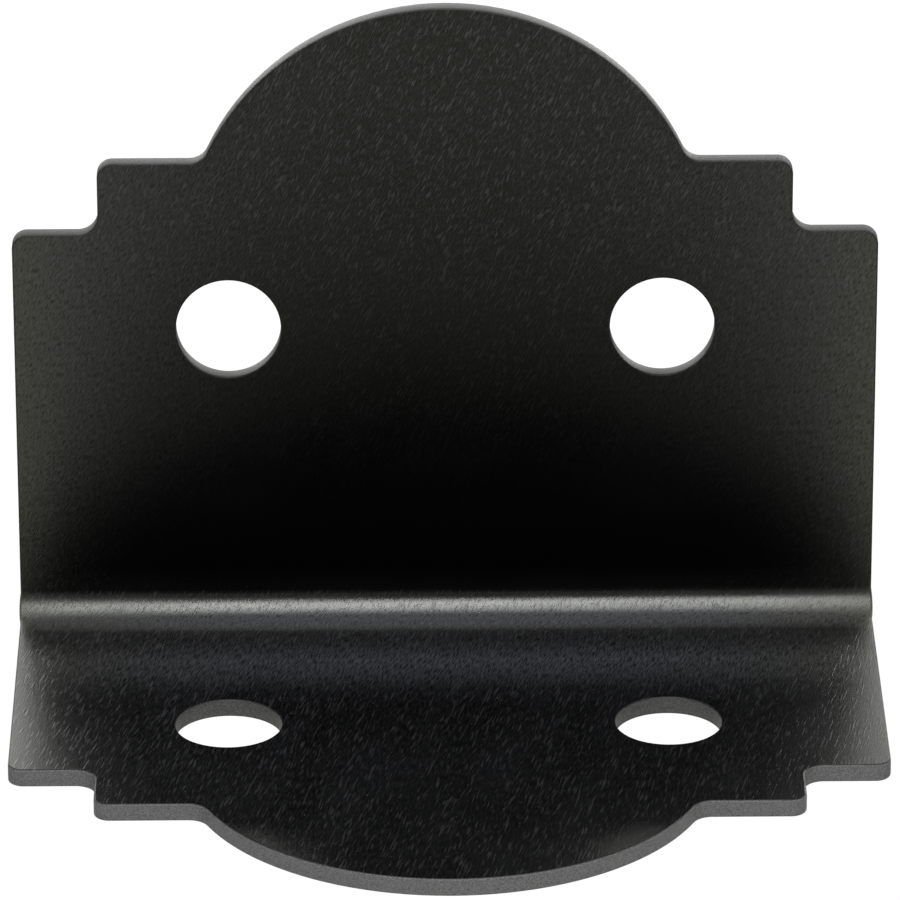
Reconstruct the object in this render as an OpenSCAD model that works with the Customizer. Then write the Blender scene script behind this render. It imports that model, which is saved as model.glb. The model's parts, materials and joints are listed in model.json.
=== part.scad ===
// Corner brace bracket, bent from one sheet of steel.
// It ties a post to a beam: each leg lies on a timber and takes two screws.
// The bracket stands on its base leg and the wall leg rises at the back.
// X runs along the bend, Y points from the front tip to the wall leg, Z is up.
// The origin is the middle of the footprint, on the underside of the base leg.
// All sizes are in millimetres.

/* [Sheet] */
// Width of both legs, along the bend
plate_width = 88.9; // [80:0.1:110]
// Thickness of the sheet with its coat
sheet_thickness = 1.9; // [1.2:0.1:3]
// Radius on the inside of the bend
bend_radius = 2.5; // [1.5:0.1:5]
// How far the sheet swells out at each end of the bend
bend_swell = 0.15; // [0.05:0.01:0.3]

/* [Leg lengths] */
// Length of the wall leg, from the inside corner to its round tip
wall_reach = 67.3; // [64:0.1:74]
// Length of the base leg, from the inside corner to its round tip
base_reach = 61.7; // [57:0.1:68]

/* [Leg ends] */
// Distance from the round tip back to the outer shoulders
shoulder_drop = 24.6; // [23:0.1:27]
// Distance of the inner shoulders beyond the outer ones
step_rise = 7.8; // [6:0.1:9]
// Width of the leg between its inner shoulders
step_width = 71.2; // [66:0.1:75]
// Radius of the round tip
tip_radius = 26.7; // [22:0.1:28]
// Radius of the outward corners of the shoulders
corner_radius = 1.6; // [0.8:0.1:2.4]
// Radius of the inward corners at the steps and the tip
inward_radius = 2.1; // [1:0.1:2.8]

/* [Screw holes] */
// Diameter of the screw holes
hole_diameter = 10.8; // [6:0.1:12.5]
// Distance between the two holes of a leg
hole_spacing = 44.7; // [36:0.1:52]
// Distance of the wall leg's holes from the inside corner
wall_hole_reach = 32.1; // [26:0.1:36]
// Distance of the base leg's holes from the inside corner
base_hole_reach = 26.6; // [20:0.1:30]

/* [Hidden] */
$fn = 96;

sheet_colour = [0.07, 0.07, 0.07];

// Distance of a cut's outside beyond the material that it trims
cut_margin = 1;

half_plate = plate_width / 2;
half_step = step_width / 2;

// Both legs end alike: these places are measured from the round tip
outer_shoulder = -shoulder_drop;
inner_shoulder = outer_shoulder + step_rise;
tip_centre = -tip_radius;

// The small arc where the tip meets an inner shoulder touches both
tip_arc_centre_y = inner_shoulder + inward_radius;
tip_arc_centre_x = sqrt(pow(tip_radius + inward_radius, 2) - pow(tip_arc_centre_y - tip_centre, 2));

// The whole depth is centred on the origin
depth = base_reach + sheet_thickness;
wall_back = depth / 2;
wall_face = wall_back - sheet_thickness;

// Axis of the bend
bend_axis_y = wall_face - bend_radius;
bend_axis_z = sheet_thickness + bend_radius;

// The swelling is a shallow dome that fades out within the bend
swell_reach = bend_radius * sin(45);
swell_ball = (pow(swell_reach, 2) + pow(bend_swell, 2)) / (2 * bend_swell);

// What is trimmed off to round an outward corner at the given point
module corner_cut(x, y) {
    difference() {
        translate([x - corner_radius, y - corner_radius])
            square(corner_radius + cut_margin);
        translate([x - corner_radius, y - corner_radius])
            circle(r = corner_radius);
    }
}

// Sheet left in the inward corner between an outer shoulder and the step
module step_fillet() {
    difference() {
        translate([half_step - inward_radius, outer_shoulder - inward_radius])
            square(2 * inward_radius);
        translate([half_step + inward_radius, outer_shoulder + inward_radius])
            circle(r = inward_radius);
    }
}

// Sheet left in the inward corner between an inner shoulder and the tip
module tip_fillet() {
    difference() {
        polygon([
            [0, tip_centre],
            [tip_arc_centre_x, inner_shoulder],
            [tip_arc_centre_x, tip_arc_centre_y]
        ]);
        translate([tip_arc_centre_x, tip_arc_centre_y])
            circle(r = inward_radius);
    }
}

// Round tip, kept above the outer shoulders
module tip() {
    intersection() {
        translate([0, tip_centre])
            circle(r = tip_radius);
        translate([-half_plate, outer_shoulder])
            square([plate_width, shoulder_drop + cut_margin]);
    }
}

// Flat outline of a leg: X across, Y outward from the inside corner
module leg_outline(reach, hole_reach) {
    difference() {
        union() {
            translate([-half_plate, bend_radius])
                square([plate_width, reach + outer_shoulder - bend_radius]);
            translate([-half_step, bend_radius])
                square([step_width, reach + inner_shoulder - bend_radius]);
            translate([0, reach]) {
                tip();
                for (side = [0, 1]) mirror([side, 0]) {
                    step_fillet();
                    tip_fillet();
                }
            }
        }
        for (side = [0, 1]) mirror([side, 0]) {
            translate([0, reach]) {
                corner_cut(half_plate, outer_shoulder);
                corner_cut(half_step, inner_shoulder);
            }
            translate([hole_spacing / 2, hole_reach])
                circle(d = hole_diameter);
        }
    }
}

module leg(reach, hole_reach) {
    linear_extrude(height = sheet_thickness)
        leg_outline(reach, hole_reach);
}

// Quarter turn of sheet between the legs, of the given length along X
module quarter_turn(length) {
    translate([0, bend_axis_y, bend_axis_z])
        rotate([0, 90, 0])
            rotate_extrude(angle = 90)
                translate([bend_radius, -length / 2])
                    square([sheet_thickness, length]);
}

module bend() {
    quarter_turn(plate_width);
    for (side = [-1, 1]) intersection() {
        quarter_turn(plate_width + 2 * bend_swell);
        translate([
            side * (half_plate + bend_swell - swell_ball),
            bend_axis_y + swell_reach,
            bend_axis_z - swell_reach
        ])
            sphere(r = swell_ball);
    }
}

module base_leg() {
    translate([0, wall_face, 0])
        mirror([0, 1, 0])
            leg(base_reach, base_hole_reach);
}

module wall_leg() {
    translate([0, wall_back, sheet_thickness])
        rotate([90, 0, 0])
            leg(wall_reach, wall_hole_reach);
}

module bracket() {
    color(sheet_colour) {
        base_leg();
        bend();
        wall_leg();
    }
}

bracket();
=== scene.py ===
import json
from math import cos, pi, radians, sin, sqrt

import bpy
import numpy as np
from mathutils import Matrix, Vector
from mathutils.geometry import delaunay_2d_cdt


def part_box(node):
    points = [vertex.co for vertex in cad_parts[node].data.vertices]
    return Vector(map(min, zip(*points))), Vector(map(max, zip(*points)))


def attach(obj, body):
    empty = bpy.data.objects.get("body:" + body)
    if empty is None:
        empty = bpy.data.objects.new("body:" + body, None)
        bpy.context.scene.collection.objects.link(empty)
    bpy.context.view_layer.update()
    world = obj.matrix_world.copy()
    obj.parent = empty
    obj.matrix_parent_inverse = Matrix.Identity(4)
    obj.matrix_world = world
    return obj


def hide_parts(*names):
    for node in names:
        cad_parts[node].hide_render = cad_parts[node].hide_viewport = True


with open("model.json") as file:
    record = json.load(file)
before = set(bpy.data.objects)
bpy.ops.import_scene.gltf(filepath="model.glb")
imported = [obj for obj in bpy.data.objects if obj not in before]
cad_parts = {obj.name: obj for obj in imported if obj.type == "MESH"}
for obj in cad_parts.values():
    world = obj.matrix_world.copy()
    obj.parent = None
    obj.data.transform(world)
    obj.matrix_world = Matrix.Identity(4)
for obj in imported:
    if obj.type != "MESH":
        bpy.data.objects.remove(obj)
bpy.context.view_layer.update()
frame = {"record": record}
scene = bpy.context.scene

MM = 0.001

# Sizes of the bracket in millimetres, from the frame where it has them
mounts = {m["name"]: m for m in frame["record"]["mounts"]}


def mount_at(name):
    """Place of a mount, in millimetres."""
    return np.array(mounts[name]["pos_m"]) / MM


low, high = (np.array(corner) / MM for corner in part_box("bracket"))

# How far the sheet stands out at each end of the bend
BEND_SWELL = 0.15
PLATE_WIDTH = high[0] - low[0] - 2 * BEND_SWELL
HALF_WIDTH = PLATE_WIDTH / 2
WALL_BACK = mount_at("wall_back")[1]
THICKNESS = WALL_BACK - mount_at("wall_screws")[1]
WALL_FACE = WALL_BACK - THICKNESS
BEND_RADIUS = 2.5
# The legs' lengths and the holes' distances count from the inside corner
WALL_REACH = high[2] - THICKNESS
BASE_REACH = WALL_FACE - low[1]
TIP_RADIUS = 26.7
SHOULDER_DROP = 24.6
STEP_RISE = 7.8
HALF_STEP = 71.2 / 2
CORNER_RADIUS = 1.6
INWARD_RADIUS = 2.1
HOLE_RADIUS = mounts["wall_screws"]["dims"]["hole_r_mm"]
HOLE_SIDE = mounts["wall_screws"]["dims"]["spacing_x_mm"] / 2
WALL_HOLE_REACH = mount_at("wall_screws")[2] - THICKNESS
BASE_HOLE_REACH = WALL_FACE - mount_at("base_screws")[1]
# The coat rounds every edge of the sheet by this much
EDGE_ROUND = 0.22

# The bend's axis, and the bend's length along the middle of the sheet
BEND_Y = WALL_FACE - BEND_RADIUS
BEND_Z = THICKNESS + BEND_RADIUS
BEND_RUN = (BEND_RADIUS + THICKNESS / 2) * pi / 2

# How far in from a bend end the sheet swells, and how nearly it fills the solid's swelling
SWELL_DEPTH = 1.2
SWELL_SHARE = 0.98

# How finely the mesh is divided: arcs in degrees, the other steps in millimetres
ARC_STEP = 3.0
SIDE_STEP = 1.5
FACE_STEP = 3.5
ROUND_STEPS = 4
BEND_ROWS = 18
BEND_COLUMNS = 48
HOLE_POINTS = 96
# The grid of points on a leg's face: where it starts, and how far it stays from holes and edges
GRID_SIDE = 43.0
GRID_START = 5.0
HOLE_CLEARANCE = 2.0
EDGE_CLEARANCE = 1.6
# Points closer than about 1 / WELD become one
WELD = 1733.7

# Where the painted sheen lies: a painted highlight over a stretch of the bend and in a band on the base leg
# beside it, and a painted reflection at the wall leg's ends, a little more at the left. A larger power
# keeps the paleness nearer to the ends, as it is low on the wall leg.
PAINTED_SHEEN_BEND = 0.27 * BEND_RUN
PAINTED_SHEEN_BEND_HALF = 0.23 * BEND_RUN
PAINTED_SHEEN_BEND_FADE = 1.1
PAINTED_SHEEN_BAND = 10.0
PAINTED_SHEEN_BAND_WIDTH = 4.5
PAINTED_SHEEN_BAND_LEVEL = 0.55
PAINTED_SHEEN_ENDS_LEVEL = 0.92
PAINTED_SHEEN_ENDS_LEFT = 0.1
PAINTED_SHEEN_ENDS_RISE = 14.0
PAINTED_SHEEN_ENDS_POWER = 2.5
PAINTED_SHEEN_ENDS_LOW_POWER = 6.0
PAINTED_SHEEN_ENDS_LOW = 12.0

# How much the streaks show on the wall leg and on the base leg, and how far up the wall they grow stronger
SCUFF_WALL = 0.8
SCUFF_WALL_LEAST = 0.03
SCUFF_WALL_SIDES = 0.4
SCUFF_WALL_RISE = 42.0
SCUFF_BASE = 0.34
SCUFF_BASE_LEFT = 0.35
SCUFF_POWER = 1.5

# Where the wall leg's painted shade starts above the inside corner, how far up it reaches and how wide it
# is
PAINTED_SHADE_LEAST = 0.04
PAINTED_SHADE_START = 1.6
PAINTED_SHADE_FADE = 1.6
PAINTED_SHADE_REACH = 45.0
PAINTED_SHADE_FALL = 1.6
PAINTED_SHADE_POWER = 4.2
PAINTED_SHADE_LOW_POWER = 5.0
PAINTED_SHADE_LOW = 14.0

# Over what lengths the polish of the bend's inside fades
POLISH_START = 2.0
POLISH_END = 0.2 * BEND_RUN
# How dark the painted shade on the wall leg's edges is, and how soon it reaches round the corner of the
# sheet
EDGE_PAINTED_SHADE = 0.65
EDGE_PAINTED_SHADE_GROWTH = 1.5

# How close to the sheet's sides the painted sheen takes its side colour and the coat is at its roughest
SIDES_POWER = 3

# How the streaks lean on the base leg, the bend and the wall leg, how long they are next to the wall's,
# and how they slant through the sheet's edge
LEAN_BASE = 0.22
LEAN_BEND = 0.35
LEAN_WALL = 0.49
STRETCH_BASE = 0.45
STRETCH_BEND = 0.7
EDGE_SLANT = 0.5
EDGE_SLANT_CHANGE = 0.7


# Outline of the flat sheet
# u runs across the sheet, s along it (0 at the base's bend line, BEND_RUN at the wall's), w into it.
def arc(cx, cy, r, start, end, facing=1.0):
    """Points and outward normals of an arc, angles in degrees; facing is -1 where the arc is hollow."""
    count = max(3, int(abs(end - start) / ARC_STEP) + 1)
    a = np.radians(np.linspace(start, end, count))
    ring = np.stack([np.cos(a), np.sin(a)], 1)
    return np.array([cx, cy]) + r * ring, facing * ring


def circle():
    """Unit circle for a hole's rim."""
    a = np.linspace(0, 2 * pi, HOLE_POINTS, endpoint=False)
    return np.stack([np.cos(a), np.sin(a)], 1)


def straight(p, q):
    """Points strictly between p and q, with the normal to the right of the way."""
    length = np.linalg.norm(q - p)
    count = max(1, int(round(length / SIDE_STEP)))
    t = np.arange(1, count) / count
    d = (q - p) / length
    return p + t[:, None] * (q - p), np.repeat([[d[1], -d[0]]], count - 1, axis=0)


def leg_outline(reach, inset):
    """Outline of a leg from its right bend end over the tip to its left one, moved inward."""
    out_r, in_r = CORNER_RADIUS, INWARD_RADIUS
    outer = reach - SHOULDER_DROP
    inner = outer + STEP_RISE
    tip_centre = reach - TIP_RADIUS
    touch_y = inner + in_r
    touch_x = sqrt((TIP_RADIUS + in_r) ** 2 - (touch_y - tip_centre) ** 2)
    slope = np.degrees(np.arctan2(touch_y - tip_centre, touch_x))
    corners = [
        arc(HALF_WIDTH - out_r, outer - out_r, out_r - inset, 0, 90),
        arc(HALF_STEP + in_r, outer + in_r, in_r + inset, 270, 180, -1.0),
        arc(HALF_STEP - out_r, inner - out_r, out_r - inset, 0, 90),
        arc(touch_x, touch_y, in_r + inset, 270, 180 + slope, -1.0),
    ]
    last = np.array([HALF_WIDTH - inset, BEND_RADIUS])
    pieces = [(last[None], np.array([[1.0, 0.0]]))]
    for corner in corners:
        pieces += [straight(last, corner[0][0]), corner]
        last = corner[0][-1]
    tip, tip_normals = arc(0, tip_centre, TIP_RADIUS - inset, slope, 90)
    pieces.append((tip[1:], tip_normals[1:]))
    points = np.concatenate([p for p, _ in pieces])
    normals = np.concatenate([n for _, n in pieces])
    mirror = [-1, 1]
    return (
        np.concatenate([points, points[::-1][1:] * mirror]),
        np.concatenate([normals, normals[::-1][1:] * mirror]),
    )


def on_sheet(points, way):
    """A leg's own points as (u, s) of the flat sheet; way is 1 for the wall leg and -1 for the base leg."""
    if way > 0:
        return np.column_stack([points[:, 0], BEND_RUN + points[:, 1] - BEND_RADIUS])
    return np.column_stack([-points[:, 0], BEND_RADIUS - points[:, 1]])


def sheet_outline(inset):
    """Closed outline of the flat sheet in (u, s), anticlockwise, with its normals."""
    wall_p, wall_n = leg_outline(WALL_REACH, inset)
    base_p, base_n = leg_outline(BASE_REACH, inset)
    rows = np.arange(1, BEND_ROWS) / BEND_ROWS * BEND_RUN
    side = np.full(len(rows), HALF_WIDTH - inset)
    left_p = np.column_stack([-side, rows[::-1]])
    right_p = np.column_stack([side, rows])
    left_n = np.repeat([[-1.0, 0.0]], len(rows), axis=0)
    return (
        np.concatenate([on_sheet(wall_p, 1), left_p, on_sheet(base_p, -1), right_p]),
        np.concatenate([wall_n, left_n, -base_n, -left_n]),
    )


# The folded sheet
def swell(y, z):
    """How far the sheet's end stands out at a point of its section."""
    reach = BEND_RADIUS * sin(radians(45))
    ball = (reach ** 2 + BEND_SWELL ** 2) / (2 * BEND_SWELL)
    far2 = (y - BEND_Y - reach) ** 2 + (z - BEND_Z + reach) ** 2
    height = np.sqrt(np.maximum(ball ** 2 - far2, 0)) - (ball - BEND_SWELL)
    return np.where(far2 < reach ** 2, height, 0.0)


def place(u, s, w):
    """Point of the folded sheet for (u, s, w), in millimetres."""
    turn = np.clip(s / BEND_RUN, 0, 1) * pi / 2
    past_wall = np.maximum(s - BEND_RUN, 0)
    past_base = np.maximum(-s, 0)
    y = BEND_Y + (BEND_RADIUS + w) * np.sin(turn) - past_base
    z = BEND_Z - (BEND_RADIUS + w) * np.cos(turn) + past_wall
    near_end = np.clip((np.abs(u) - (HALF_WIDTH - SWELL_DEPTH)) / SWELL_DEPTH, 0, 1) ** 2
    return np.stack([u + np.sign(u) * near_end * swell(y, z) * SWELL_SHARE, y, z], -1)


def turn_vector(s, across, along, inward):
    """Direction of the folded sheet for components along u, s and w."""
    turn = np.clip(s / BEND_RUN, 0, 1) * pi / 2
    return np.stack([
        across,
        along * np.cos(turn) + inward * np.sin(turn),
        along * np.sin(turn) - inward * np.cos(turn),
    ], -1)


# What differs over the coat, by place on the sheet
def smooth(t):
    """Smooth step from 0 to 1."""
    t = np.clip(t, 0, 1)
    return t * t * (3 - 2 * t)


def bell(distance, width):
    """1 at distance 0, fading to nearly nothing at twice the width."""
    return np.exp(-(distance / width) ** 2)


def outward(u):
    """0 on the sheet's middle line, 1 at its sides."""
    return np.clip(np.abs(u) / HALF_WIDTH, 0, 1)


def grain(u, s, w):
    """Coordinates in which the coat's streaks stand upright: across them, along them, through the sheet."""
    on_bend = np.clip(s, 0, BEND_RUN)
    on_wall = np.maximum(s - BEND_RUN, 0)
    on_base = np.minimum(s, 0)
    share = on_bend / BEND_RUN
    lean = LEAN_BASE * on_base + LEAN_BEND * on_bend + LEAN_WALL * on_wall
    stretch = STRETCH_BASE * on_base + STRETCH_BEND * on_bend + on_wall
    across = u - lean + (EDGE_SLANT - EDGE_SLANT_CHANGE * share) * w
    return np.stack([across, stretch + (EDGE_SLANT * share - 1) * w, w], -1)


def painted_sheen_mask(u, s):
    """Painted sheen, where the coat is also rougher: painted highlight on the bend and in a band beside it,
    painted reflection at the wall leg's ends.
    """
    up = s - BEND_RUN
    ends = outward(u) ** (PAINTED_SHEEN_ENDS_POWER + PAINTED_SHEEN_ENDS_LOW_POWER * bell(up, PAINTED_SHEEN_ENDS_LOW))
    ends = ends * (PAINTED_SHEEN_ENDS_LEVEL - PAINTED_SHEEN_ENDS_LEFT * np.sign(u) * ends)
    ends = ends * np.clip(up / PAINTED_SHEEN_ENDS_RISE, 0, 1)
    band = PAINTED_SHEEN_BAND_LEVEL * bell(s + PAINTED_SHEEN_BAND, PAINTED_SHEEN_BAND_WIDTH)
    bend = bell(np.maximum(np.abs(s - PAINTED_SHEEN_BEND) - PAINTED_SHEEN_BEND_HALF, 0), PAINTED_SHEEN_BEND_FADE)
    return np.maximum(np.maximum(ends, band), bend)


def scuffed(u, s):
    """How much the streaks show: least low in the middle of the wall leg, more up it and at its sides, and
    more at the base leg's left end.
    """
    up = np.clip((s - BEND_RUN) / SCUFF_WALL_RISE, 0, 1)
    sides = SCUFF_WALL_SIDES * outward(u) ** SIDES_POWER
    on_wall = np.clip(SCUFF_WALL_LEAST + up ** SCUFF_POWER + sides, 0, 1)
    on_base = SCUFF_BASE + SCUFF_BASE_LEFT * outward(np.minimum(u, 0)) ** SCUFF_POWER
    return np.where(s < BEND_RUN, on_base, SCUFF_WALL * on_wall)


def painted_corner_shade(u, s):
    """Painted shade: how far the coat turns to flat black, most low in the middle of the wall leg, in the
    inner corner.
    """
    up = np.maximum(s - BEND_RUN + BEND_RADIUS, 0)
    middle = 1 - outward(u) ** (PAINTED_SHADE_POWER + PAINTED_SHADE_LOW_POWER * bell(up, PAINTED_SHADE_LOW))
    fall = np.exp(-(up / PAINTED_SHADE_REACH) ** PAINTED_SHADE_FALL)
    return np.clip(PAINTED_SHADE_LEAST + fall * middle, 0, 1) * smooth((up - PAINTED_SHADE_START) / PAINTED_SHADE_FADE)


def painted_edge_shade(s, w, edge):
    """Painted shade on the wall leg's edges: darkest beside its inner face."""
    level = np.where(s > BEND_RUN, EDGE_PAINTED_SHADE * (1 - w / THICKNESS), 0)
    return level * np.clip(EDGE_PAINTED_SHADE_GROWTH * edge, 0, 1)


def polished(s):
    """Where the press tool polished the coat: over the inside of the bend."""
    return smooth((s + POLISH_START) / POLISH_START) * smooth((BEND_RUN - s) / POLISH_END)


# The sheet's mesh
class Sheet:
    """Collects faces of the sheet in flat coordinates and folds them up at the end."""

    def __init__(self):
        self.points, self.normals, self.edge, self.faces = [], [], [], []
        self.count = 0

    def add(self, usw, normal, edge):
        """Adds points with a common or own normal and a paleness of the edge, and gives their numbers."""
        self.points.append(usw)
        self.normals.append(np.broadcast_to(np.asarray(normal, float), usw.shape))
        self.edge.append(np.full(len(usw), float(edge)))
        self.count += len(usw)
        return np.arange(self.count - len(usw), self.count)

    def strip(self, a, b, flip=False):
        """Quads between two closed rings of points."""
        for i in range(len(a)):
            j = (i + 1) % len(a)
            quad = [a[i], a[j], b[j], b[i]]
            self.faces.append(quad[::-1] if flip else quad)

    def build(self, name):
        """Welds the points and makes the folded mesh, with what differs over the coat as attributes."""
        usw = np.concatenate(self.points)
        key = np.round(usw * WELD).astype(np.int64)
        _, first, where = np.unique(key, axis=0, return_index=True, return_inverse=True)
        where = where.reshape(-1)
        u, s, w = usw[first].T
        normal = np.concatenate(self.normals)[first]
        edge = np.concatenate(self.edge)[first]
        faces = []
        for face in self.faces:
            welded = [int(where[i]) for i in face]
            welded = [v for k, v in enumerate(welded) if v != welded[k - 1]]
            if len(welded) > 2:
                faces.append(welded)
        mesh = bpy.data.meshes.new(name)
        mesh.from_pydata((place(u, s, w) * MM).tolist(), [], faces)
        mesh.polygons.foreach_set("use_smooth", [True] * len(mesh.polygons))
        layer = mesh.attributes.new("grain", "FLOAT_VECTOR", "POINT")
        layer.data.foreach_set("vector", grain(u, s, w).astype(np.float32).ravel())
        inner = np.clip(1 - w / EDGE_ROUND, 0, 1)
        # Besides the coat's own marks, these layers carry painted sheen and painted shade, set by place on
        # the sheet
        layers = {
            "rim": edge,
            "painted_sheen": painted_sheen_mask(u, s),
            "scuff": scuffed(u, s),
            "wide": outward(u) ** SIDES_POWER,
            "polish": polished(s) * inner,
            "painted_shade": np.maximum(painted_corner_shade(u, s) * inner, painted_edge_shade(s, w, edge)),
        }
        for label, values in layers.items():
            layer = mesh.attributes.new(label, "FLOAT", "POINT")
            layer.data.foreach_set("value", values.astype(np.float32))
        mesh.update()
        mesh.normals_split_custom_set_from_vertices(turn_vector(s, *normal.T).tolist())
        mesh.validate()
        return mesh


def edge_profile():
    """Steps round the sheet's edge: inset, depth, share of sideways normal, share of inward normal."""
    turns = [pi / 2 * k / ROUND_STEPS for k in range(ROUND_STEPS + 1)]
    near = [(EDGE_ROUND * (1 - sin(a)), EDGE_ROUND * (1 - cos(a)), sin(a), -cos(a)) for a in turns]
    far = [(inset, THICKNESS - depth, side, -inward) for inset, depth, side, inward in reversed(near)]
    return near + [(0.0, THICKNESS / 2, 1.0, 0.0)] + far


def add_ring(sheet, outline, normals, depth, side, inward, paleness):
    """Adds one ring of an edge, whose normals lean from sideways to inward."""
    usw = np.column_stack([outline, np.full(len(outline), depth)])
    return sheet.add(usw, np.column_stack([normals * side, np.full(len(outline), inward)]), paleness)


def bend_columns():
    """Where the columns of the bend's faces lie across the sheet, from right to left."""
    side = HALF_WIDTH - EDGE_ROUND
    return np.linspace(side, -side, BEND_COLUMNS + 1)


def within(loop, point):
    """True where the point lies inside the closed loop."""
    x, y = point
    a, b = loop, np.roll(loop, -1, axis=0)
    hits = (a[:, 1] > y) != (b[:, 1] > y)
    at = (b[:, 0] - a[:, 0]) * (y - a[:, 1]) / np.where(hits, b[:, 1] - a[:, 1], 1) + a[:, 0]
    return int(np.sum(hits & (x < at))) % 2 == 1


def face_grid(outer, reach, hole_reach):
    """Points inside a leg's broad face, clear of its edge and its holes."""
    grid = []
    for x in np.arange(-GRID_SIDE, GRID_SIDE, FACE_STEP):
        for y in np.arange(GRID_START, reach, FACE_STEP):
            from_hole = sqrt((abs(x) - HOLE_SIDE) ** 2 + (y - hole_reach) ** 2) - HOLE_RADIUS
            from_edge = np.min(np.hypot(*(outer - [x, y]).T))
            if from_hole > HOLE_CLEARANCE and from_edge > EDGE_CLEARANCE and within(outer, (x, y)):
                grid.append((x, y))
    return grid


def leg_face(sheet, reach, hole_reach, way, depth, inward):
    """A leg's broad face; way is 1 for the wall leg and -1 for the base leg."""
    rim, _ = leg_outline(reach, EDGE_ROUND)
    bend_side = -bend_columns()[1:-1]
    outer = np.concatenate([rim, np.column_stack([bend_side, np.full(len(bend_side), BEND_RADIUS)])])
    hole_rim = HOLE_RADIUS + EDGE_ROUND
    loops = [outer] + [np.array([x, hole_reach]) + circle() * hole_rim for x in (-HOLE_SIDE, HOLE_SIDE)]
    given, edges = [], []
    for loop in loops:
        start = len(given)
        given += list(loop)
        edges += [(start + i, start + (i + 1) % len(loop)) for i in range(len(loop))]
    given = np.array(given + face_grid(outer, reach, hole_reach))
    points, _, triangles, source, _, _ = delaunay_2d_cdt([Vector(p) for p in given], edges, [], 1, 1e-6)
    points = np.array([given[k[0]] if k else (p.x, p.y) for p, k in zip(points, source)])
    us = on_sheet(points, way)
    ids = sheet.add(np.column_stack([us, np.full(len(us), depth)]), (0, 0, inward), 0)
    for t in triangles:
        middle = points[list(t)].mean(0)
        if np.hypot(abs(middle[0]) - HOLE_SIDE, middle[1] - hole_reach) < hole_rim:
            continue
        a, b, c = (ids[i] for i in t)
        p, q = us[t[1]] - us[t[0]], us[t[2]] - us[t[0]]
        turned = (p[0] * q[1] - p[1] * q[0] > 0) == (inward > 0)
        sheet.faces.append([a, c, b] if turned else [a, b, c])


def bend_face(sheet, depth, inward):
    """The inner or outer face of the bend."""
    columns = bend_columns()
    rows = []
    for k in range(BEND_ROWS + 1):
        s = np.full(len(columns), BEND_RUN * k / BEND_ROWS)
        usw = np.column_stack([columns, s, np.full(len(columns), depth)])
        rows.append(sheet.add(usw, (0, 0, inward), 0))
    for a, b in zip(rows, rows[1:]):
        for i in range(BEND_COLUMNS):
            quad = [a[i], b[i], b[i + 1], a[i + 1]]
            sheet.faces.append(quad if inward < 0 else quad[::-1])


def build_bracket():
    """The whole folded sheet: its edge, its four holes and its two broad faces."""
    sheet = Sheet()
    profile = edge_profile()

    rings = []
    for inset, depth, side, inward in profile:
        outline, normals = sheet_outline(inset)
        rings.append(add_ring(sheet, outline, normals, depth, side, inward, side))
    for a, b in zip(rings, rings[1:]):
        sheet.strip(a, b, flip=True)

    hole_rows = (BEND_RUN + WALL_HOLE_REACH - BEND_RADIUS, BEND_RADIUS - BASE_HOLE_REACH)
    for centre in [(x, y) for y in hole_rows for x in (-HOLE_SIDE, HOLE_SIDE)]:
        rings = []
        for inset, depth, side, inward in profile:
            outline = np.array(centre) + circle() * (HOLE_RADIUS + inset)
            paleness = side * HOLE_PALENESS
            rings.append(add_ring(sheet, outline, -circle(), depth, side, inward, paleness))
        for a, b in zip(rings, rings[1:]):
            sheet.strip(a, b)

    for depth, inward in ((0.0, -1.0), (THICKNESS, 1.0)):
        bend_face(sheet, depth, inward)
        leg_face(sheet, WALL_REACH, WALL_HOLE_REACH, 1, depth, inward)
        leg_face(sheet, BASE_REACH, BASE_HOLE_REACH, -1, depth, inward)
    return sheet.build("bracket_sheet")


# Colours and finish of the coat, colours as linear light
BODY_DARK = (0.0013, 0.0013, 0.0012)
BODY_LIGHT = (0.0026, 0.0026, 0.0025)
# Colours of the painted sheen: a painted highlight on the bend and beside it, a painted reflection at the
# wall leg's ends
PAINTED_SHEEN_MIDDLE = (0.046, 0.046, 0.045)
PAINTED_SHEEN_SIDES = (0.037, 0.036, 0.023)
STREAK = (0.0210, 0.0205, 0.0180)
MARK = (0.050, 0.049, 0.044)
SPECK = (0.075, 0.073, 0.065)
EDGE = (0.108, 0.104, 0.090)
# Flat black mixed in as painted shade in the wall leg's inner corner and on its edges
PAINTED_SHADE_BLACK = (0.0008, 0.0008, 0.0008)
# How strongly streaks, single marks and specks cover the body's colour
STREAK_COVER = 0.6
MARK_COVER = 0.65
SPECK_COVER = 0.6
# How much of the edges' paleness the holes have
HOLE_PALENESS = 0.67
# Depth of the coat's relief in millimetres, how much bold streaks add, and how much more under the painted
# sheen
BUMP_DEPTH = 0.011
BOLD_RELIEF = 0.6
SHEEN_PATCH_RELIEF = 1.6
# Widths in millimetres of fine streaks, of bold streaks and specks, and of patches
FINE_SIZE = 0.13
BOLD_SIZE = 0.16
PATCH_SIZE = 6.0
# Between which levels of its noise or mask each pattern comes in, and for the painted sheen and the edges'
# wear also from what to what
PATCH_LEVELS = (0.3, 0.7)
STREAK_LEVELS = (0.44, 0.64)
BOLD_LEVELS = (0.60, 0.78)
SPECK_LEVELS = (0.80, 0.88)
EDGE_LEVELS = (0.4, 0.95)
EDGE_ROUGH_LEVELS = (0.02, 0.5)
PAINTED_SHEEN_BREAKUP = (0.32, 0.68, 0.25, 1.55)
EDGE_WEAR = (0.35, 0.65, 0.5, 1.1)
# Roughness of the body from patch to patch, and what streaks, the sides, the painted sheen's patch and
# edges add
ROUGH_LEAST = 0.175
ROUGH_MOST = 0.205
ROUGH_FINE = 0.05
ROUGH_SIDES = 0.17
ROUGH_SHEEN_PATCH = 0.09
ROUGH_EDGE = 0.3
# Roughness of the flat black that is painted shade
ROUGH_PAINTED_SHADE = 0.5
# Strength and tint of the coat's mirror shine
SHINE = 0.25
SHINE_POLISHED = 0.62
SHINE_TINT = (1.0, 0.995, 0.76, 1)


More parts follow.
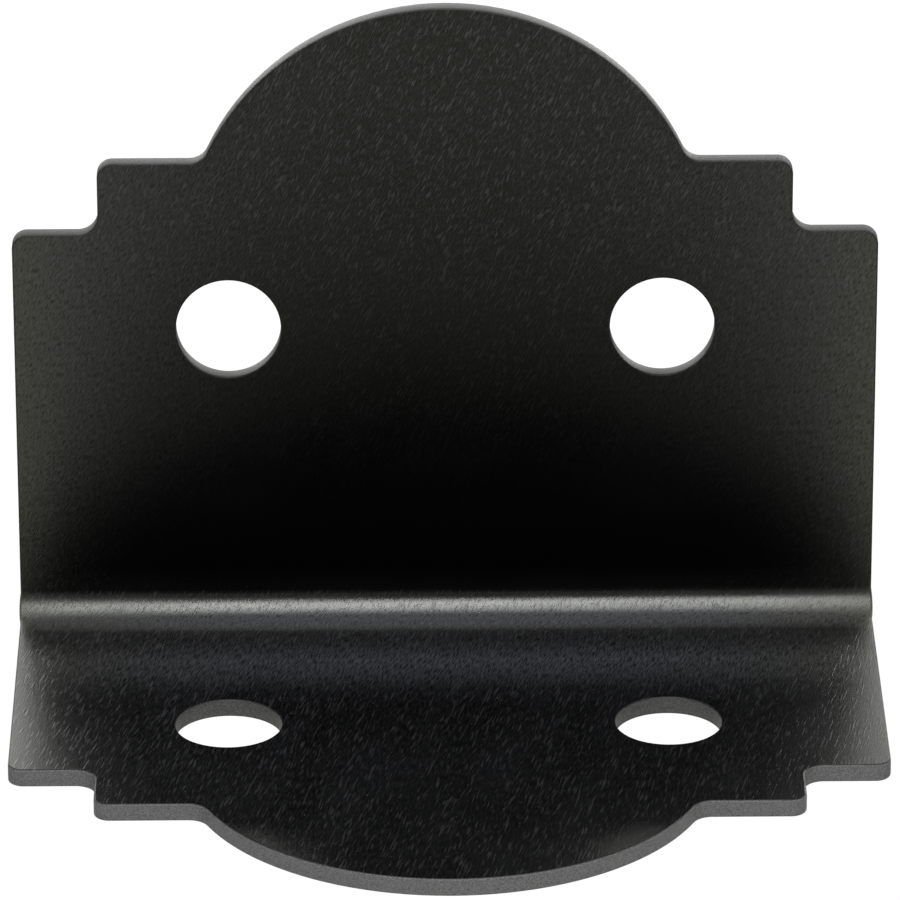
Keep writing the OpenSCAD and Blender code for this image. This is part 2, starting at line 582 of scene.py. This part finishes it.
class Nodes:
    """Short ways to add nodes to a material."""

    def __init__(self, tree):
        self.tree = tree

    def add(self, kind, **settings):
        node = self.tree.nodes.new("ShaderNode" + kind)
        for k, v in settings.items():
            setattr(node, k, v)
        return node

    def feed(self, socket, value):
        """Links a socket to the value, or sets it."""
        if isinstance(value, bpy.types.NodeSocket):
            self.tree.links.new(value, socket)
        else:
            socket.default_value = value

    def attribute(self, name, output="Fac"):
        return self.add("Attribute", attribute_name=name).outputs[output]

    def math(self, operation, a, b, clamp=False):
        node = self.add("Math", operation=operation, use_clamp=clamp)
        self.feed(node.inputs[0], a)
        self.feed(node.inputs[1], b)
        return node.outputs[0]

    def times(self, a, b):
        return self.math("MULTIPLY", a, b)

    def plus(self, a, b):
        return self.math("ADD", a, b)

    def ramp(self, value, low, high, out_low=0.0, out_high=1.0):
        """Smooth change from out_low to out_high while the value goes from low to high."""
        node = self.add("MapRange", interpolation_type="SMOOTHSTEP")
        self.feed(node.inputs["Value"], value)
        for k, v in (("From Min", low), ("From Max", high), ("To Min", out_low), ("To Max", out_high)):
            self.feed(node.inputs[k], v)
        return node.outputs[0]

    def mix(self, factor, a, b):
        """Colour between a and b."""
        node = self.add("Mix", data_type="RGBA")
        self.feed(node.inputs["Factor"], factor)
        self.feed(node.inputs["A"], (*a, 1) if isinstance(a, tuple) else a)
        self.feed(node.inputs["B"], (*b, 1) if isinstance(b, tuple) else b)
        return node.outputs["Result"]

    def blend(self, factor, a, b):
        """Shader between a and b."""
        node = self.add("MixShader")
        for socket, value in zip(node.inputs, (factor, a, b)):
            self.feed(socket, value)
        return node.outputs[0]

    def dress(self, bsdf, colour, rough, shine, normal):
        """Settings of a Principled shader; gives its output."""
        self.feed(bsdf.inputs["Base Color"], colour)
        self.feed(bsdf.inputs["Roughness"], rough)
        self.feed(bsdf.inputs["Normal"], normal)
        bsdf.inputs["Specular IOR Level"].default_value = shine
        bsdf.inputs["Specular Tint"].default_value = SHINE_TINT
        return bsdf.outputs[0]

    def noise(self, at, size, stretch=(1, 1, 1), detail=2.0, rough=0.5, offset=(0, 0, 0)):
        """Noise whose blotches are about size millimetres wide, stretched along each axis."""
        mapping = self.add("Mapping")
        self.feed(mapping.inputs["Vector"], at)
        mapping.inputs["Scale"].default_value = [1 / (size * k) for k in stretch]
        mapping.inputs["Location"].default_value = offset
        noise = self.add("TexNoise")
        self.feed(noise.inputs["Vector"], mapping.outputs[0])
        noise.inputs["Scale"].default_value = 1.0
        noise.inputs["Detail"].default_value = detail
        noise.inputs["Roughness"].default_value = rough
        return noise.outputs["Fac"]


def coat_relief(n, fine, bold, painted_sheen):
    """Fine streaks side by side and single bolder ones, as relief."""
    height = n.times(n.plus(fine, n.times(bold, BOLD_RELIEF)), n.plus(n.times(painted_sheen, SHEEN_PATCH_RELIEF), 1.0))
    bump = n.add("Bump")
    bump.inputs["Strength"].default_value = 1.0
    bump.inputs["Distance"].default_value = BUMP_DEPTH * MM
    n.feed(bump.inputs["Height"], height)
    return bump.outputs[0]


def coat_colour(n, fine, bold, speck, patches, painted_sheen, wide, rim):
    """The body's black, paler with painted sheen, where it is streaked, marked or specked, and on the
    edges.
    """
    scuff = n.attribute("scuff")
    streak = n.times(n.ramp(fine, *STREAK_LEVELS), scuff)
    mark = n.times(bold, scuff)
    edge = n.ramp(rim, *EDGE_LEVELS)
    colour = n.mix(n.ramp(patches, *PATCH_LEVELS), BODY_DARK, BODY_LIGHT)
    pale = n.mix(wide, PAINTED_SHEEN_MIDDLE, PAINTED_SHEEN_SIDES)
    # Painted sheen, broken up by the fine streaks
    colour = n.mix(n.times(painted_sheen, n.ramp(fine, *PAINTED_SHEEN_BREAKUP)), colour, pale)
    colour = n.mix(n.times(streak, STREAK_COVER), colour, STREAK)
    colour = n.mix(n.times(mark, MARK_COVER), colour, MARK)
    colour = n.mix(n.times(speck, SPECK_COVER), colour, SPECK)
    return n.mix(n.times(edge, n.ramp(fine, *EDGE_WEAR)), colour, EDGE)


def coat_roughness(n, fine, patches, painted_sheen, wide, rim):
    """Satin body, rougher towards the sides, under the painted sheen and on the edges."""
    rough = n.ramp(patches, *PATCH_LEVELS, ROUGH_LEAST, ROUGH_MOST)
    rough = n.plus(rough, n.times(fine, ROUGH_FINE))
    rough = n.plus(rough, n.times(wide, ROUGH_SIDES))
    rough = n.plus(rough, n.times(painted_sheen, ROUGH_SHEEN_PATCH))
    return n.plus(rough, n.times(n.ramp(rim, *EDGE_ROUGH_LEVELS), ROUGH_EDGE))


def powder_coat():
    """Black powder coat with short slanting streaks, glossier on the bend, with painted sheen, and flat
    black as painted shade in the inner corner and on the wall leg's edges.
    """
    mat = bpy.data.materials.new("black_powder_coat")
    mat.use_nodes = True
    n = Nodes(mat.node_tree)
    at = n.attribute("grain", "Vector")
    rim = n.attribute("rim")
    painted_sheen = n.attribute("painted_sheen")
    wide = n.attribute("wide")
    fine = n.noise(at, FINE_SIZE, (1, 4.5, 1), detail=1.0, rough=0.6)
    bold = n.noise(at, BOLD_SIZE, (1, 5, 1), detail=0.0, offset=(7.3, 2.1, 0.4))
    bold = n.ramp(bold, *BOLD_LEVELS)
    speck = n.noise(at, BOLD_SIZE, detail=0.0, offset=(4.4, 8.8, 1.1))
    speck = n.ramp(speck, *SPECK_LEVELS)
    patches = n.noise(at, PATCH_SIZE, (1, 1.4, 1), detail=1.0, offset=(2.9, 0.6, 7.7))

    relief = coat_relief(n, fine, bold, painted_sheen)
    colour = coat_colour(n, fine, bold, speck, patches, painted_sheen, wide, rim)
    rough = coat_roughness(n, fine, patches, painted_sheen, wide, rim)
    satin = n.dress(mat.node_tree.nodes["Principled BSDF"], colour, rough, SHINE, relief)
    bright = n.dress(n.add("BsdfPrincipled"), colour, rough, SHINE_POLISHED, relief)
    # Flat black mixed in as painted shade in the wall leg's inner corner and on its edges
    shade_black = n.dress(n.add("BsdfPrincipled"), (*PAINTED_SHADE_BLACK, 1), ROUGH_PAINTED_SHADE, 0.0, relief)
    surface = n.blend(n.attribute("painted_shade"), n.blend(n.attribute("polish"), satin, bright), shade_black)
    n.feed(mat.node_tree.nodes["Material Output"].inputs["Surface"], surface)
    return mat


mesh = build_bracket()
bracket = bpy.data.objects.new("bracket_coated", mesh)
scene.collection.objects.link(bracket)
mesh.materials.append(powder_coat())

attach(bracket, "root")
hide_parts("bracket")


# Floor and world, the floor's half width and its drop below the bracket in metres
FLOOR_HALF = 6.0
FLOOR_DROP = 0.00005
FLOOR_GLOW = 0.97
# Floor's own colour where it throws light on the bracket, and where it is seen
FLOOR_PALE = (0.8, 0.8, 0.8)
FLOOR_SEEN = (0.05, 0.05, 0.05)
SKY_COLOUR = (0.98, 0.99, 1, 1)
SKY_LEVEL = 0.12


def pale_floor():
    """A floor that glows nearly white where it is seen or mirrored, and else throws light as pale paint."""
    mat = bpy.data.materials.new("pale_floor")
    mat.use_nodes = True
    mat.node_tree.nodes.clear()
    n = Nodes(mat.node_tree)
    rays = n.add("LightPath").outputs
    seen = n.plus(rays["Is Camera Ray"], rays["Is Glossy Ray"])
    seen = n.math("ADD", seen, rays["Is Transmission Ray"], clamp=True)
    diffuse = n.add("BsdfDiffuse")
    n.feed(diffuse.inputs["Color"], n.mix(seen, FLOOR_PALE, FLOOR_SEEN))
    glow = n.add("Emission")
    n.feed(glow.inputs["Strength"], n.times(seen, FLOOR_GLOW))
    both = n.add("AddShader")
    n.feed(both.inputs[0], diffuse.outputs[0])
    n.feed(both.inputs[1], glow.outputs[0])
    n.feed(n.add("OutputMaterial").inputs["Surface"], both.outputs[0])
    return mat


corners = ((-1, -1), (1, -1), (1, 1), (-1, 1))
floor_corners = [(x * FLOOR_HALF, y * FLOOR_HALF, -FLOOR_DROP) for x, y in corners]
floor_mesh = bpy.data.meshes.new("floor")
floor_mesh.from_pydata(floor_corners, [], [(0, 1, 2, 3)])
floor = bpy.data.objects.new("floor", floor_mesh)
scene.collection.objects.link(floor)
floor_mesh.materials.append(pale_floor())

world = bpy.data.worlds.new("studio")
scene.world = world
world.use_nodes = True
sky = world.node_tree.nodes["Background"]
sky.inputs["Color"].default_value = SKY_COLOUR
sky.inputs["Strength"].default_value = SKY_LEVEL


# Lamps: azimuth and elevation in degrees, distance, width and height in metres, radiance, colour
WHITE = (1, 1, 1)
COOL = (0.82, 0.83, 1.0)
COOLER = (0.79, 0.83, 1.0)
BLUISH = (0.74, 0.80, 1.0)
LAMPS = {
    "key_left": (-15, 57, 0.45, 0.18, 0.18, 12.0, COOL),
    "key_right": (12, 40, 0.45, 0.21, 0.19, 9.8, COOL),
    "key_above": (-2, 72, 0.45, 0.32, 0.16, 5.2, COOLER),
    "top": (0, 98, 0.7, 0.45, 0.50, 3.0, BLUISH),
    "backdrop": (180, 16, 0.7, 1.30, 0.36, 4.7, WHITE),
    "backdrop_left": (-160, 16, 0.69, 0.40, 0.30, 2.0, WHITE),
    "backdrop_right": (146, 16, 0.69, 0.34, 0.30, 4.0, WHITE),
}


def softbox(name, azimuth, elevation, distance, width, height, radiance, colour):
    """A soft lamp aimed at the bracket's inner corner. Azimuth 0 is in front, 90 on the right."""
    lamp = bpy.data.lights.new(name, "AREA")
    lamp.shape = "RECTANGLE"
    lamp.size = width
    lamp.size_y = height
    lamp.energy = radiance * pi * width * height
    lamp.color = colour
    box = bpy.data.objects.new(name, lamp)
    a, e = radians(azimuth), radians(elevation)
    aim = Vector((0, WALL_FACE * MM, THICKNESS * MM))
    way = Vector((sin(a) * cos(e), -cos(a) * cos(e), sin(e)))
    box.location = aim + way * distance
    box.rotation_euler = way.to_track_quat("Z", "Y").to_euler()
    box.visible_camera = False
    scene.collection.objects.link(box)


for name, settings in LAMPS.items():
    softbox(name, *settings)


# Camera at the photograph's angle: place in metres, turns in degrees, lens and sensor in millimetres
CAMERA_AT = (-0.006614, -0.741145, 0.365453)
CAMERA_PITCH = 24.118
CAMERA_YAW = -0.5243
CAMERA_ROLL = -0.1354
CAMERA_LENS = 325.896
CAMERA_SENSOR = 36


def camera_turn(pitch, yaw, roll):
    """Rotation of the camera, which looks along +Y before it is turned."""
    p, y, r = radians(pitch), radians(yaw), radians(roll)
    level = Matrix(((1, 0, 0), (0, 0, -1), (0, 1, 0)))
    about_up = Matrix(((cos(y), 0, sin(y)), (0, 1, 0), (-sin(y), 0, cos(y))))
    about_side = Matrix(((1, 0, 0), (0, cos(p), -sin(p)), (0, sin(p), cos(p))))
    about_view = Matrix(((cos(r), -sin(r), 0), (sin(r), cos(r), 0), (0, 0, 1)))
    to_camera = about_view @ about_side @ about_up @ level
    return to_camera.transposed() @ Matrix(((1, 0, 0), (0, -1, 0), (0, 0, -1)))


camera_data = bpy.data.cameras.new("camera")
camera_data.sensor_fit = "HORIZONTAL"
camera_data.sensor_width = CAMERA_SENSOR
camera_data.lens = CAMERA_LENS
camera_data.clip_start = 0.05
camera_data.clip_end = 50
camera = bpy.data.objects.new("camera", camera_data)
turn = camera_turn(CAMERA_PITCH, CAMERA_YAW, CAMERA_ROLL)
camera.matrix_world = Matrix.Translation(CAMERA_AT) @ turn.to_4x4()
scene.collection.objects.link(camera)
scene.camera = camera

scene.view_settings.view_transform = "Standard"
